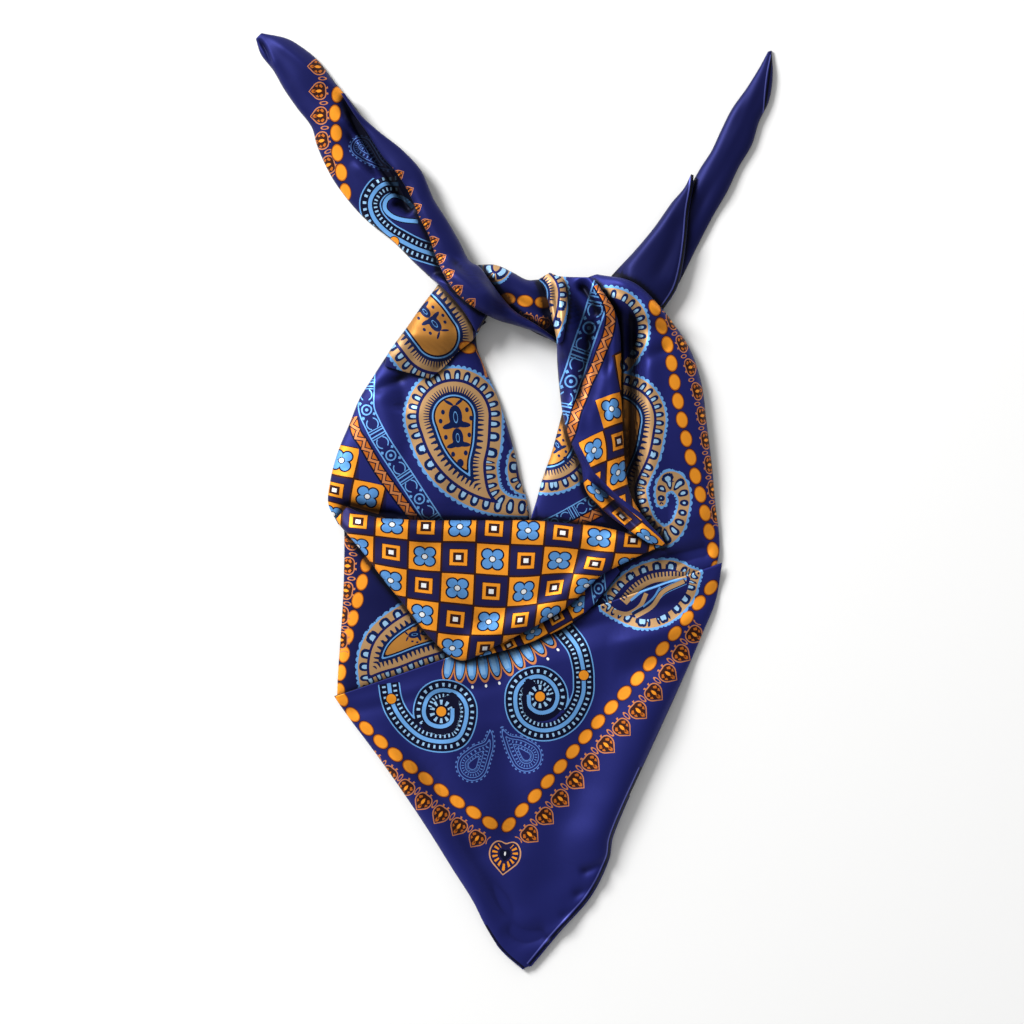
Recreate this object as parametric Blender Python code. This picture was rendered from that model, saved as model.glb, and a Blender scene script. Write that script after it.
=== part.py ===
"""A square silk scarf, folded cornerwise, tied in one knot and laid flat with its bib towards -Y.

Plan view is the XY plane and the scarf lies on z = 0. Lengths in the tables are millimetres, of a
square that is 0.92 m along its sides before it is folded.
Each stretch of the cloth that shows is one solid: a row of cross-sections, each running from the
stretch's left edge to its right edge. A stretch is draped over whatever was laid down before it.
"""

import math
from collections import namedtuple

import bpy
import numpy as np

MM = 0.001
WALL = 1.6  # one layer of cloth with the air that it traps
LAY_GAP = 0.4  # between a stretch and what it lies on
PADDING = 2.5  # how far the hidden layers of gathered cloth sink towards what is below
CELL = 0.75  # grid of the height map
SAMPLES = 16  # along each side of a triangle that is laid on it
PLAN_MARGIN = 20.0
PLAN_HALF = (215.0, 385.0)

Section = namedtuple("Section", "left_x left_y right_x right_y rise")
Fold = namedtuple("Fold", "start_x start_y end_x end_y width height")

# The folded-under layers of the bib: one flat layer on the floor.
BIB_BACK = [
    Section(-132, -30, 120, -36, 0),
    Section(-132, -80, 156, -46, 0),
    Section(-136, -140, 156, -66, 0),
    Section(-108, -200, 141, -110, 0),
    Section(-66, -262, 112, -178, 0),
    Section(-30, -318, 80, -247, 0),
    Section(-20, -340, 70, -274, 0),
    Section(-6, -357, 56, -312, 0),
    Section(4, -369, 24, -354, 0),
]
# The front of the bib below its cross fold.
BIB_POINT = [
    Section(-145, -156, 166, -49, 3),
    Section(-135, -171, 162, -76, 5),
    Section(-114, -199, 150, -107, 6),
    Section(-92, -230, 134, -144, 6),
    Section(-70, -263, 119, -177, 6),
    Section(-50, -295, 102, -214, 5),
    Section(-33, -322, 86, -249, 4),
    Section(-24, -340, 78, -270, 3),
    Section(-15, -355, 75, -287, 3),
    Section(-7, -364, 60, -317, 2),
    Section(0, -370, 36, -344, 2),
    Section(6, -375, 13, -372, 1),
]
BIB_YOKE_LEFT = [
    Section(-137, -18, -104, -14, 2),
    Section(-137, -46, -86, -44, 4),
    Section(-138, -78, -64, -76, 6),
    Section(-140, -110, -42, -104, 6),
    Section(-142, -138, -30, -122, 4),
    Section(-143, -160, -22, -136, 1),
]
BIB_YOKE_RIGHT = [
    Section(54, 178, 66, 182, 6),
    Section(66, 164, 94, 175, 11),
    Section(78, 148, 118, 153, 14),
    Section(84, 126, 138, 127, 15),
    Section(84, 98, 149, 98, 15),
    Section(83, 66, 154, 62, 15),
    Section(85, 34, 158, 30, 13),
    Section(88, 2, 161, -3, 10),
    Section(90, -24, 164, -28, 7),
    Section(66, -56, 163, -46, 3),
    Section(40, -92, 156, -62, 1),
]
# A narrow second layer that shows below the right half of the swag.
SWAG_UNDER = [
    Section(-30, -112, -28, -124, 2),
    Section(-8, -106, -4, -118, 3),
    Section(16, -96, 22, -109, 3),
    Section(38, -86, 44, -98, 3),
    Section(52, -72, 60, -86, 3),
    Section(64, -60, 72, -72, 2),
    Section(80, -50, 84, -56, 1),
]
SWAG = [
    Section(-134, -4, -143, -14, 2),
    Section(-126, -8, -140, -19, 5),
    Section(-114, -12, -136, -24, 9),
    Section(-92, -14, -120, -43, 11),
    Section(-72, -15, -104, -64, 12),
    Section(-52, -15, -86, -86, 12),
    Section(-32, -15, -66, -111, 12),
    Section(-12, -15, -44, -127, 11),
    Section(8, -15, -16, -116, 11),
    Section(28, -16, 12, -102, 11),
    Section(48, -18, 41, -85, 10),
    Section(68, -20, 68, -60, 9),
    Section(90, -25, 94, -46, 7),
    Section(114, -31, 116, -36, 3),
]
LEFT_BAND = [
    Section(-62, 174, -23, 144, 8),
    Section(-74, 157, -30, 137, 9),
    Section(-90, 135, -30, 122, 10),
    Section(-101, 120, -26, 112, 10),
    Section(-114, 100, -21, 100, 10),
    Section(-124, 84, -14, 84, 10),
    Section(-133, 62, -7, 63, 10),
    Section(-141, 43, -1, 42, 10),
    Section(-148, 18, 5, 15, 9),
    Section(-150, -1, 10, -1, 7),
    Section(-142, -18, 12, -22, 3),
]
LEFT_BAND_FOLD = [
    Section(-60, 175, -20, 152, 5),
    Section(-74, 157, -26, 142, 7),
    Section(-88, 137, -34, 129, 8),
    Section(-97, 125, -47, 118, 6),
    Section(-103, 115, -58, 106, 4),
    Section(-104, 108, -68, 98, 1),
]
RIGHT_BAND_UNDER = [
    Section(38, 72, 56, 66, 4),
    Section(34, 56, 68, 46, 6),
    Section(29, 38, 80, 26, 7),
    Section(22, 18, 88, 6, 7),
    Section(17, 0, 94, -10, 5),
    Section(12, -15, 100, -32, 3),
]
RIGHT_BAND_INNER = [
    Section(24, 180, 62, 178, 8),
    Section(27, 164, 71, 165, 12),
    Section(30, 148, 79, 152, 13),
    Section(33, 128, 84, 134, 14),
    Section(34, 110, 85, 114, 14),
    Section(36, 88, 85, 90, 14),
    Section(39, 66, 86, 66, 13),
    Section(45, 46, 87, 42, 12),
    Section(52, 30, 89, 20, 11),
    Section(57, 8, 95, 0, 10),
    Section(69, -6, 106, -16, 8),
    Section(88, -21, 117, -29, 5),
    Section(106, -33, 121, -36, 2),
]
KNOT_ROLL = [
    Section(19, 177, 28, 182, 3),
    Section(23, 170, 37, 177, 6),
    Section(26, 160, 41, 165, 7),
    Section(29, 147, 42, 152, 7),
    Section(32, 134, 40, 139, 6),
    Section(34, 124, 38, 127, 3),
]
CROSS_BAND = [
    Section(-30, 190, -22, 170, 7),
    Section(-16, 190, -12, 158, 10),
    Section(-2, 184, 0, 148, 11),
    Section(10, 178, 12, 138, 12),
    Section(22, 178, 26, 131, 12),
    Section(36, 172, 40, 128, 8),
]
LEFT_TAIL = [
    Section(-208, 371, -203, 376, 3),
    Section(-204, 359, -184, 372, 6),
    Section(-194, 346, -170, 364, 8),
    Section(-186, 332, -159, 355, 9),
    Section(-175, 316, -145, 337, 9),
    Section(-163, 300, -130, 319, 9),
    Section(-159, 286, -118, 303, 9),
    Section(-148, 262, -98, 287, 9),
    Section(-134, 242, -78, 268, 9),
    Section(-117, 224, -64, 240, 9),
    Section(-98, 209, -55, 226, 9),
    Section(-82, 193, -46, 209, 8),
    Section(-63, 175, -36, 192, 7),
    Section(-49, 161, -28, 182, 6),
    Section(-38, 147, -20, 170, 5),
    Section(-31, 135, -18, 158, 2),
]
LEFT_TAIL_FLAP = [
    Section(-139, 326, -136, 326, 1),
    Section(-129, 310, -126, 312, 2),
    Section(-119, 296, -110, 297, 3),
    Section(-106, 276, -90, 281, 4),
    Section(-95, 263, -76, 266, 5),
    Section(-83, 243, -64, 240, 5),
    Section(-77, 228, -55, 226, 6),
    Section(-69, 212, -45, 209, 7),
    Section(-62, 192, -36, 192, 8),
    Section(-52, 172, -28, 187, 9),
    Section(-36, 156, -20, 176, 10),
    Section(-20, 147, -12, 165, 10),
    Section(0, 141, 0, 152, 9),
    Section(20, 134, 19, 140, 6),
    Section(34, 126, 33, 130, 3),
]
RIGHT_TAIL = [
    Section(203, 361, 206, 362, 1),
    Section(196, 348, 207, 342, 4),
    Section(186, 332, 204, 322, 5),
    Section(174, 315, 196, 305, 6),
    Section(165, 297, 190, 286, 6),
    Section(158, 282, 180, 269, 6),
    Section(149, 268, 170, 248, 6),
    Section(141, 254, 160, 231, 5),
    Section(132, 240, 150, 212, 5),
    Section(120, 222, 140, 192, 5),
    Section(106, 202, 131, 174, 5),
    Section(92, 184, 119, 154, 5),
]
RIGHT_TAIL_FLAP = [
    Section(141, 262, 143, 261, 1),
    Section(136, 252, 142, 250, 3),
    Section(126, 240, 139, 233, 4),
    Section(111, 219, 137, 210, 5),
    Section(95, 200, 134, 188, 5),
    Section(79, 183, 129, 170, 6),
    Section(68, 170, 118, 153, 6),
]

FOLDS = {
    "bib_point": [
        Fold(-140, -158, -60, -136, 9, 2.0),
        Fold(50, -92, 158, -58, 9, 2.5),
        Fold(-60, -250, 40, -330, 16, 1.5),
        Fold(96, -90, 60, -250, 18, 2.0),
        Fold(20, -120, 10, -250, 20, -1.5),
        Fold(-64, -292, -16, -324, 7, -2.0),
    ],
    "bib_yoke_right": [
        Fold(94, 150, 92, 10, 8, -9.0),
        Fold(96, 118, 118, 122, 5, -3.0),
        Fold(108, 150, 122, 60, 9, 1.5),
        Fold(112, 20, 160, -40, 9, -2.5),
        Fold(132, 110, 140, 0, 8, -1.5),
    ],
    "swag": [
        Fold(-110, -26, 90, -30, 7, 2.0),
        Fold(-96, -50, -44, -112, 8, 2.0),
        Fold(-30, -108, 70, -60, 8, 1.5),
        Fold(-60, -50, 10, -66, 12, -2.0),
        Fold(-128, -10, -104, -22, 5, -2.5),
    ],
    "left_band": [
        Fold(-116, 70, -20, 40, 14, -1.5),
        Fold(-130, 30, -90, 4, 10, 2.0),
        Fold(-24, 96, 2, 20, 7, 1.5),
        Fold(-128, -4, -96, -8, 6, -3.0),
    ],
    "left_band_fold": [
        Fold(-84, 140, -34, 138, 7, 1.5),
        Fold(-70, 158, -38, 132, 5, -2.0),
    ],
    "right_band_inner": [
        Fold(52, 174, 66, 154, 5, -5.0),
        Fold(44, 168, 38, 116, 6, 2.0),
        Fold(62, 148, 42, 84, 7, 1.5),
        Fold(70, 156, 50, 74, 3.5, -2.0),
        Fold(79, 160, 80, 96, 5, 2.0),
        Fold(70, 26, 100, -14, 6, -2.5),
    ],
    "knot_roll": [
        Fold(30, 176, 35, 130, 2.5, -1.5),
    ],
    "left_tail": [
        Fold(-200, 370, -150, 306, 5, 1.5),
        Fold(-178, 338, -120, 262, 8, 1.5),
        Fold(-140, 300, -86, 232, 7, -5.0),
        Fold(-100, 222, -62, 190, 8, 1.5),
        Fold(-206, 374, -196, 358, 2.5, -2.5),
    ],
    "left_tail_flap": [
        Fold(-60, 206, -20, 156, 6, 1.5),
        Fold(-84, 256, -66, 222, 4, -1.5),
    ],
    "cross_band": [
        Fold(-24, 182, 20, 160, 6, 1.5),
        Fold(-10, 160, 24, 142, 4, -1.5),
    ],
    "right_tail": [
        Fold(203, 352, 160, 262, 4, 1.5),
        Fold(196, 330, 140, 220, 4, -1.5),
    ],
}


def eased_rows(rows, count):
    """Rows of a table at even steps along it, on a smooth curve through the given rows."""
    table = np.array(rows, float)
    steps = np.linalg.norm(np.diff((table[:, :2] + table[:, 2:4]) / 2, axis=0), axis=1)
    along = np.concatenate([[0.0], np.cumsum(np.maximum(steps, 1.0))])
    slopes = np.gradient(table, along, axis=0)
    places = np.linspace(0.0, along[-1], count)
    index = np.clip(np.searchsorted(along, places, side="right") - 1, 0, len(along) - 2)
    span = (along[index + 1] - along[index])[:, None]
    t = (places - along[index])[:, None] / span
    blend_a = 2 * t**3 - 3 * t**2 + 1
    blend_b = t**3 - 2 * t**2 + t
    blend_c = 3 * t**2 - 2 * t**3
    blend_d = t**3 - t**2
    return (
        blend_a * table[index]
        + blend_b * span * slopes[index]
        + blend_c * table[index + 1]
        + blend_d * span * slopes[index + 1]
    )


def plan_grid(rows, stations, columns):
    """Points across and along a stretch, closer together at its two edges, with each one's share of the way across."""
    across = 0.5 - 0.5 * np.cos(np.linspace(0.0, math.pi, columns))
    eased = eased_rows(rows, stations)
    left, right = eased[:, None, 0:2], eased[:, None, 2:4]
    plan = left + (right - left) * across[None, :, None]
    return plan, across, np.maximum(eased[:, 4], 0.0)


def fold_height(plan, folds):
    """How far the listed ridges and troughs lift or lower each point."""
    total = np.zeros(plan.shape[:2])
    for fold in folds:
        start = np.array([fold.start_x, fold.start_y], float)
        run = np.array([fold.end_x, fold.end_y], float) - start
        share = np.clip(((plan - start) @ run) / (run @ run), 0.0, 1.0)
        away = np.linalg.norm(plan - start - share[..., None] * run, axis=2)
        total += fold.height * np.exp(-((away / fold.width) ** 2))
    return total


class Pile:
    """The height of the cloth that is already laid down, on a square grid over the plan."""

    def __init__(self):
        self.low = -np.array(PLAN_HALF) - PLAN_MARGIN
        size = np.ceil(-2 * self.low / CELL).astype(int)
        self.height = np.zeros(size)

    def samples(self, surface):
        """Points all over a grid surface, as heights and the cells of the map that they are over.

        Each set is for one triangle of every quad: which = 0 for those with the corners (0, 0), (1, 0)
        and (1, 1), and 1 for those with the corners (0, 0), (1, 1) and (0, 1).
        """
        a, b, c, d = surface[:-1, :-1], surface[1:, :-1], surface[1:, 1:], surface[:-1, 1:]
        for i in range(SAMPLES + 1):
            for j in range(SAMPLES + 1 - i):
                for which, (p, q, r) in enumerate(((a, b, c), (a, c, d))):
                    points = p + (q - p) * i / SAMPLES + (r - p) * j / SAMPLES
                    cells = np.floor((points[..., :2] - self.low) / CELL).astype(int)
                    yield which, points[..., 2], (cells[..., 0], cells[..., 1])

    def lay(self, top):
        """Adds a stretch's upper surface."""
        for _, heights, cells in self.samples(top):
            np.maximum.at(self.height, cells, heights + LAY_GAP)

    def slack(self, plan, rest):
        """How far each point of an underside could drop before a triangle at it met the pile."""
        room = np.full((2, plan.shape[0] - 1, plan.shape[1] - 1), np.inf)
        for which, heights, cells in self.samples(np.dstack([plan, rest])):
            laid = self.height[cells]
            room[which] = np.minimum(room[which], np.where(laid > 0, heights - laid, np.inf))
        either = room.min(axis=0)
        slack = np.full(plan.shape[:2], np.inf)
        corners = ((np.s_[:-1], np.s_[:-1], either), (np.s_[1:], np.s_[1:], either))
        corners += ((np.s_[1:], np.s_[:-1], room[0]), (np.s_[:-1], np.s_[1:], room[1]))
        for rows, columns, value in corners:
            slack[rows, columns] = np.minimum(slack[rows, columns], value)
        return slack

    def seat(self, plan, rest):
        """Lowers a stretch until it just rests on the pile where the two come closest."""
        drop = self.slack(plan, rest).min()
        return np.maximum(rest - max(drop, 0.0), 0.0) if np.isfinite(drop) else rest

    def pad(self, plan, rest):
        """An underside that is filled out towards the pile, by what the hidden layers give way."""
        return np.maximum(rest - np.clip(self.slack(plan, rest), 0.0, PADDING), 0.0)

    def under(self, plan, reach):
        """The height at which cloth rests over the pile: eased over that reach, and nowhere below the pile."""
        cells = max(1, round(reach / CELL))
        shifts = range(-cells, cells + 1)
        field = self.height
        for axis in (0, 1):
            field = np.max([np.roll(field, s, axis) for s in shifts], axis=0)
        for axis in (0, 1):
            weights = np.array([cells + 1 - abs(s) for s in shifts], float)
            rolled = [np.roll(field, s, axis) * w for s, w in zip(shifts, weights)]
            field = np.sum(rolled, axis=0) / weights.sum()
        place = (plan - self.low) / CELL - 0.5
        cell = np.clip(np.floor(place).astype(int), 0, np.array(field.shape) - 2)
        part = place - cell
        x, y = cell[..., 0], cell[..., 1]
        near = field[x, y] * (1 - part[..., 0]) + field[x + 1, y] * part[..., 0]
        far = field[x, y + 1] * (1 - part[..., 0]) + field[x + 1, y + 1] * part[..., 0]
        return near * (1 - part[..., 1]) + far * part[..., 1]


def cloth_material(name, color, roughness):
    material = bpy.data.materials.new(name)
    material.use_nodes = True
    shader = material.node_tree.nodes["Principled BSDF"]
    shader.inputs["Base Color"].default_value = (*color, 1.0)
    shader.inputs["Roughness"].default_value = roughness
    shader.inputs["Metallic"].default_value = 0.0
    return material


def slab_object(name, top, bottom, material):
    """A closed solid between two grids of points with the same rows and columns."""
    rows, columns = top.shape[:2]
    points = np.concatenate([top.reshape(-1, 3), bottom.reshape(-1, 3)]) * MM
    under = rows * columns
    faces = []

    def corner(row, column):
        return row * columns + column

    for row in range(rows - 1):
        for column in range(columns - 1):
            a, b = corner(row, column), corner(row + 1, column)
            c, d = corner(row + 1, column + 1), corner(row, column + 1)
            faces += [(a, b, c), (a, c, d)]
            faces += [(under + c, under + b, under + a), (under + d, under + c, under + a)]
    rim = [corner(0, c) for c in range(columns)]
    rim += [corner(r, columns - 1) for r in range(1, rows)]
    rim += [corner(rows - 1, c) for c in range(columns - 2, -1, -1)]
    rim += [corner(r, 0) for r in range(rows - 2, 0, -1)]
    for here, there in zip(rim, rim[1:] + rim[:1]):
        faces += [(here, there, under + there), (here, under + there, under + here)]
    mesh = bpy.data.meshes.new(name)
    mesh.from_pydata([tuple(p) for p in points], [], faces)
    mesh.validate()
    if mesh_volume(mesh) < 0:
        mesh.flip_normals()
    mesh.materials.append(material)
    mesh.shade_smooth()
    mesh.set_sharp_from_angle(angle=math.radians(50))
    obj = bpy.data.objects.new(name, mesh)
    bpy.context.scene.collection.objects.link(obj)
    return obj


def mesh_volume(mesh):
    """Six times the signed volume inside a mesh of triangles."""
    points = np.array([v.co for v in mesh.vertices])
    corners = points[np.array([p.vertices for p in mesh.polygons])]
    return float(np.linalg.det(corners).sum())


def lay_bundle(pile, name, rows, stations, columns, reach, roundness, material, edge=WALL):
    """Gathered or folded cloth whose hidden layers make one rounded body, flat where it rests."""
    plan, across, rise = plan_grid(rows, stations, columns)
    crown = (1 - np.abs(2 * across - 1) ** roundness) ** (1 / 2)
    rest = pile.seat(plan, pile.under(plan, reach))
    body = rise[:, None] * crown[None, :]
    body += fold_height(plan, FOLDS.get(name, [])) * crown[None, :]
    top = rest + edge + np.maximum(body, 0.0)
    return finish_stretch(pile, name, plan, top, pile.pad(plan, rest), material)


def lay_wall(pile, name, rows, stations, columns, reach, roundness, material):
    """A single layer of cloth that arches up from its edges."""
    plan, across, rise = plan_grid(rows, stations, columns)
    arch = (1 - np.abs(2 * across - 1) ** roundness) ** (1 / 2)
    rest = pile.seat(plan, pile.under(plan, reach))
    lift = rise[:, None] * arch[None, :]
    lift += fold_height(plan, FOLDS.get(name, [])) * arch[None, :]
    lift = np.maximum(lift, 0.0)
    return finish_stretch(pile, name, plan, rest + lift + WALL, rest + lift, material)


def finish_stretch(pile, name, plan, top, bottom, material):
    upper = np.dstack([plan, top])
    lower = np.dstack([plan, bottom])
    pile.lay(upper)
    return slab_object(name, upper, lower, material)


def clear_scene():
    for obj in list(bpy.data.objects):
        bpy.data.objects.remove(obj, do_unlink=True)


def build_scarf():
    clear_scene()
    navy = cloth_material("navy_silk", (0.035, 0.04, 0.18), 0.35)
    printed = cloth_material("printed_silk", (0.06, 0.07, 0.22), 0.35)
    pile = Pile()
    lay_wall(pile, "bib_back", BIB_BACK, 18, 9, 3, 8, navy)
    lay_bundle(pile, "right_tail", RIGHT_TAIL, 22, 7, 6, 3, navy)
    lay_bundle(pile, "right_tail_flap", RIGHT_TAIL_FLAP, 12, 7, 6, 3, navy)
    lay_bundle(pile, "cross_band", CROSS_BAND, 12, 9, 6, 2.5, printed)
    lay_bundle(pile, "left_band", LEFT_BAND, 20, 11, 6, 4, printed)
    lay_bundle(pile, "left_band_fold", LEFT_BAND_FOLD, 14, 9, 4, 3, printed)
    lay_bundle(pile, "right_band_under", RIGHT_BAND_UNDER, 12, 9, 6, 3, printed)
    lay_bundle(pile, "left_tail", LEFT_TAIL, 34, 9, 4, 3, printed)
    lay_bundle(pile, "left_tail_flap", LEFT_TAIL_FLAP, 30, 7, 4, 2.5, navy)
    lay_bundle(pile, "bib_yoke_right", BIB_YOKE_RIGHT, 24, 11, 9, 3, printed)
    lay_wall(pile, "bib_yoke_left", BIB_YOKE_LEFT, 14, 9, 6, 4, printed)
    lay_wall(pile, "bib_point", BIB_POINT, 26, 17, 6, 6, printed)
    lay_bundle(pile, "swag_under", SWAG_UNDER, 14, 5, 6, 2.5, printed)
    lay_bundle(pile, "swag", SWAG, 28, 13, 9, 4, printed)
    lay_bundle(pile, "right_band_inner", RIGHT_BAND_INNER, 26, 11, 9, 3, printed)
    lay_bundle(pile, "knot_roll", KNOT_ROLL, 12, 7, 6, 2.5, printed)


build_scarf()
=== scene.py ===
# Looks of the folded and knotted silk square, laid flat. Table lengths are millimetres in plan,
# with x to the right, y away from the bib's point and z up.
import math
from functools import partial

import bpy
import numpy as np
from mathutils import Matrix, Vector


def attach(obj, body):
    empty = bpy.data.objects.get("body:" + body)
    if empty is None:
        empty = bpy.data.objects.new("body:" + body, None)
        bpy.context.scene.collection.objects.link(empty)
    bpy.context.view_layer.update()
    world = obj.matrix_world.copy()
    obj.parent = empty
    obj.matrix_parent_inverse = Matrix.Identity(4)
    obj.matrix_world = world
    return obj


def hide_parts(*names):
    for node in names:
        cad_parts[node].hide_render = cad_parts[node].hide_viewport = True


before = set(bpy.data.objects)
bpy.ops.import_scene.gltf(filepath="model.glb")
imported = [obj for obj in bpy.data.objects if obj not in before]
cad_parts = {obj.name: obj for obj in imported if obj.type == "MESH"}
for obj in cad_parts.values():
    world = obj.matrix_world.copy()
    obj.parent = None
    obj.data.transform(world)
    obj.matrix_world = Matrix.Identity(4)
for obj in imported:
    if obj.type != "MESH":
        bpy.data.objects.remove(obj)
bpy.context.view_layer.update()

mm = 0.001
cloth = {
    "layer": 1.6,  # one layer of cloth with the air that it traps
    "gap": 0.3,  # between a stretch and what it lies on
    "padding": 2.5,  # how far hidden layers sink towards what is below
    "cell": 1.0,  # grid of the height map
    "wave": 0.22,  # height of the slight unevenness all over
    "crowding": 0.45,  # share of the columns drawn to the edges
    "fade": 0.28,  # share of a crease over which each end dies out
    "leastEnd": 0.12,  # of the height, at the end of a crease or a taper
    "leastCut": 0.31,  # share of a cut's width times length that its area is at least
}


def planOf(rows, spacing):
    # a section is the x and y of its left and right ends and its rise; the form is eased between them
    table = np.array(rows, float)
    steps = np.linalg.norm(np.diff((table[:, :2] + table[:, 2:4]) / 2, axis=0), axis=1)
    width = np.linalg.norm(table[:, 2:4] - table[:, :2], axis=1).max()
    stations = max(12, int(steps.sum() / spacing))
    columns = max(9, int(width / spacing * 1.15))
    along = np.concatenate([[0.0], np.cumsum(np.maximum(steps, 1.0))])
    slopes = np.gradient(table, along, axis=0)
    places = np.linspace(0.0, along[-1], stations)
    index = np.clip(np.searchsorted(along, places, side="right") - 1, 0, len(along) - 2)
    span = (along[index + 1] - along[index])[:, None]
    t = (places - along[index])[:, None] / span
    early = (2 * t**3 - 3 * t**2 + 1) * table[index] + (t**3 - 2 * t**2 + t) * span * slopes[index]
    late = (3 * t**2 - 2 * t**3) * table[index + 1] + (t**3 - t**2) * span * slopes[index + 1]
    eased = early + late
    share = np.linspace(0.0, 1.0, columns)
    crowding = cloth["crowding"]
    across = (1 - crowding) * share + crowding * (0.5 - 0.5 * np.cos(math.pi * share))
    left, right = eased[:, None, 0:2], eased[:, None, 2:4]
    return left + (right - left) * across[None, :, None], across, np.maximum(eased[:, 4], 0.0)


def awayFrom(plan, line):
    # distance to a line of points, how far along it the nearest point is, and the side
    best = np.full(plan.shape[:2], np.inf)
    along, side = np.zeros(plan.shape[:2]), np.ones(plan.shape[:2])
    walked = 0.0
    for start, end in zip(line[:-1], line[1:]):
        run = end - start
        length = np.linalg.norm(run)
        share = np.clip(((plan - start) @ run) / length**2, 0.0, 1.0)
        apart = plan - start - share[..., None] * run
        away = np.linalg.norm(apart, axis=-1)
        near = away < best
        best = np.where(near, away, best)
        along = np.where(near, walked + share * length, along)
        side = np.where(near, np.sign(run[0] * apart[..., 1] - run[1] * apart[..., 0]), side)
        walked += length
    return best, along, side, walked


def creaseHeight(plan, creases):
    # a crease is the x and y of its start, bend and end, a half width and a height
    total = np.zeros(plan.shape[:2])
    t = np.linspace(0.0, 1.0, 13)[:, None]
    for *points, width, height in creases:
        start, bend, end = np.reshape(points, (3, 2))
        line = (1 - t) ** 2 * start + t**2 * end + 2 * t * (1 - t) * bend
        away, along, _, length = awayFrom(plan, line)
        fade = np.minimum(along, length - along) / (cloth["fade"] * length) + cloth["leastEnd"]
        fade = np.clip(fade, 0.0, 1.0)
        total += height * np.exp(-((away / width) ** 2)) * fade * fade * (3 - 2 * fade)
    return total


def slightWaves(plan, phase):
    x, y = plan[..., 0], plan[..., 1]
    total = np.sin(x / 9.1 + y / 14.3 + phase) + np.sin(x / 17.7 - y / 10.9 + 2.1 * phase)
    total += 0.7 * np.sin(x / 6.3 - y / 23.0 + 0.7 * phase) + 0.5 * np.sin(y / 5.7 + x / 31.0 - phase)
    return total * cloth["wave"]


def highest(field, reach):
    for axis in (0, 1):
        field = np.max([np.roll(field, s, axis) for s in range(-reach, reach + 1)], axis=0)
    return field


class Pile:
    # the height of all that has been laid so far
    def __init__(self):
        self.low = np.array([-235.0, -405.0])
        self.height = np.zeros(np.ceil(-2 * self.low / cloth["cell"]).astype(int))

    def cellsOf(self, plan):
        cells = np.floor((plan - self.low) / cloth["cell"]).astype(int)
        return cells[..., 0], cells[..., 1]

    def lay(self, top):
        for a in np.arange(3) / 3:
            near = top[:-1, :-1] * (1 - a) + top[1:, :-1] * a
            far = top[:-1, 1:] * (1 - a) + top[1:, 1:] * a
            for b in np.arange(3) / 3:
                points = near * (1 - b) + far * b
                np.maximum.at(self.height, self.cellsOf(points[..., :2]), points[..., 2] + cloth["gap"])

    def around(self, plan, reach):
        field = self.height
        for axis in (0, 1, 0, 1):
            field = sum(np.roll(field, s, axis) for s in range(-reach, reach + 1)) / (2 * reach + 1)
        return field[self.cellsOf(plan)]

    def under(self, plan, reach):
        # where a stretch rests, and how far its padding sinks
        cells = max(1, round(reach / cloth["cell"]))
        field = highest(self.height, cells)
        weights = {s: float(cells + 1 - abs(s)) for s in range(-cells, cells + 1)}
        for axis in (0, 1):
            field = sum(np.roll(field, s, axis) * w for s, w in weights.items()) / sum(weights.values())
        place = (plan - self.low) / cloth["cell"] - 0.5
        cell = np.clip(np.floor(place).astype(int), 0, np.array(field.shape) - 2)
        a, b = np.moveaxis(place - cell, -1, 0)
        x, y = np.moveaxis(cell, -1, 0)
        near = field[x, y] * (1 - a) + field[x + 1, y] * a
        far = field[x, y + 1] * (1 - a) + field[x + 1, y + 1] * a
        rest = near * (1 - b) + far * b
        below = highest(self.height, 1)[self.cellsOf(plan)]
        touching = below > 0
        if touching.any():
            rest = np.maximum(rest - max((rest - below)[touching].min(), 0.0), 0.0)
        return rest, np.maximum(rest - np.clip(rest - below, 0.0, cloth["padding"]), 0.0)


def shellMesh(name, top, bottom):
    rows, columns = top.shape[:2]
    count = rows * columns
    points = np.concatenate([top.reshape(-1, 3), bottom.reshape(-1, 3)]) * mm
    index = np.arange(count).reshape(rows, columns)
    quads = [index[:-1, :-1], index[1:, :-1], index[1:, 1:], index[:-1, 1:]]
    upper = np.stack(quads, axis=-1).reshape(-1, 4)
    rim = np.concatenate([index[0, :-1], index[:-1, -1], index[-1, :0:-1], index[:0:-1, 0]])
    after = np.roll(rim, -1)
    side = np.stack([rim, rim + count, after + count, after], axis=-1)
    faces = np.concatenate([upper, upper[:, ::-1] + count, side[:, ::-1]])
    corner = points[upper[len(upper) // 2]]
    if np.cross(corner[1] - corner[0], corner[3] - corner[0])[2] < 0:
        faces = faces[:, ::-1]
    mesh = bpy.data.meshes.new(name)
    mesh.from_pydata(points.tolist(), [], faces.tolist())
    mesh.validate()
    mesh.shade_smooth()
    return mesh


def linked(name, data, place=(0.0, 0.0, 0.0)):
    made = bpy.data.objects.new(name, data)
    made.location = place
    bpy.context.scene.collection.objects.link(made)
    return made


def addNode(tree, kind, values=None, settings=None):
    made = tree.nodes.new(kind)
    for key, setting in (settings or {}).items():
        setattr(made, key, setting)
    for key, value in (values or {}).items():
        value = value.socket if isinstance(value, Value) else value
        if isinstance(value, bpy.types.NodeSocket):
            tree.links.new(value, made.inputs[key])
        else:
            made.inputs[key].default_value = value
    return made


hemSizes = {"Roll": 1.2 * mm, "Stitch Pitch": 4.2 * mm, "Stitch Length": 2.2 * mm, "Thread": 0.22 * mm}
stitchLean = (0.45, 0.0, 0.0)


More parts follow.
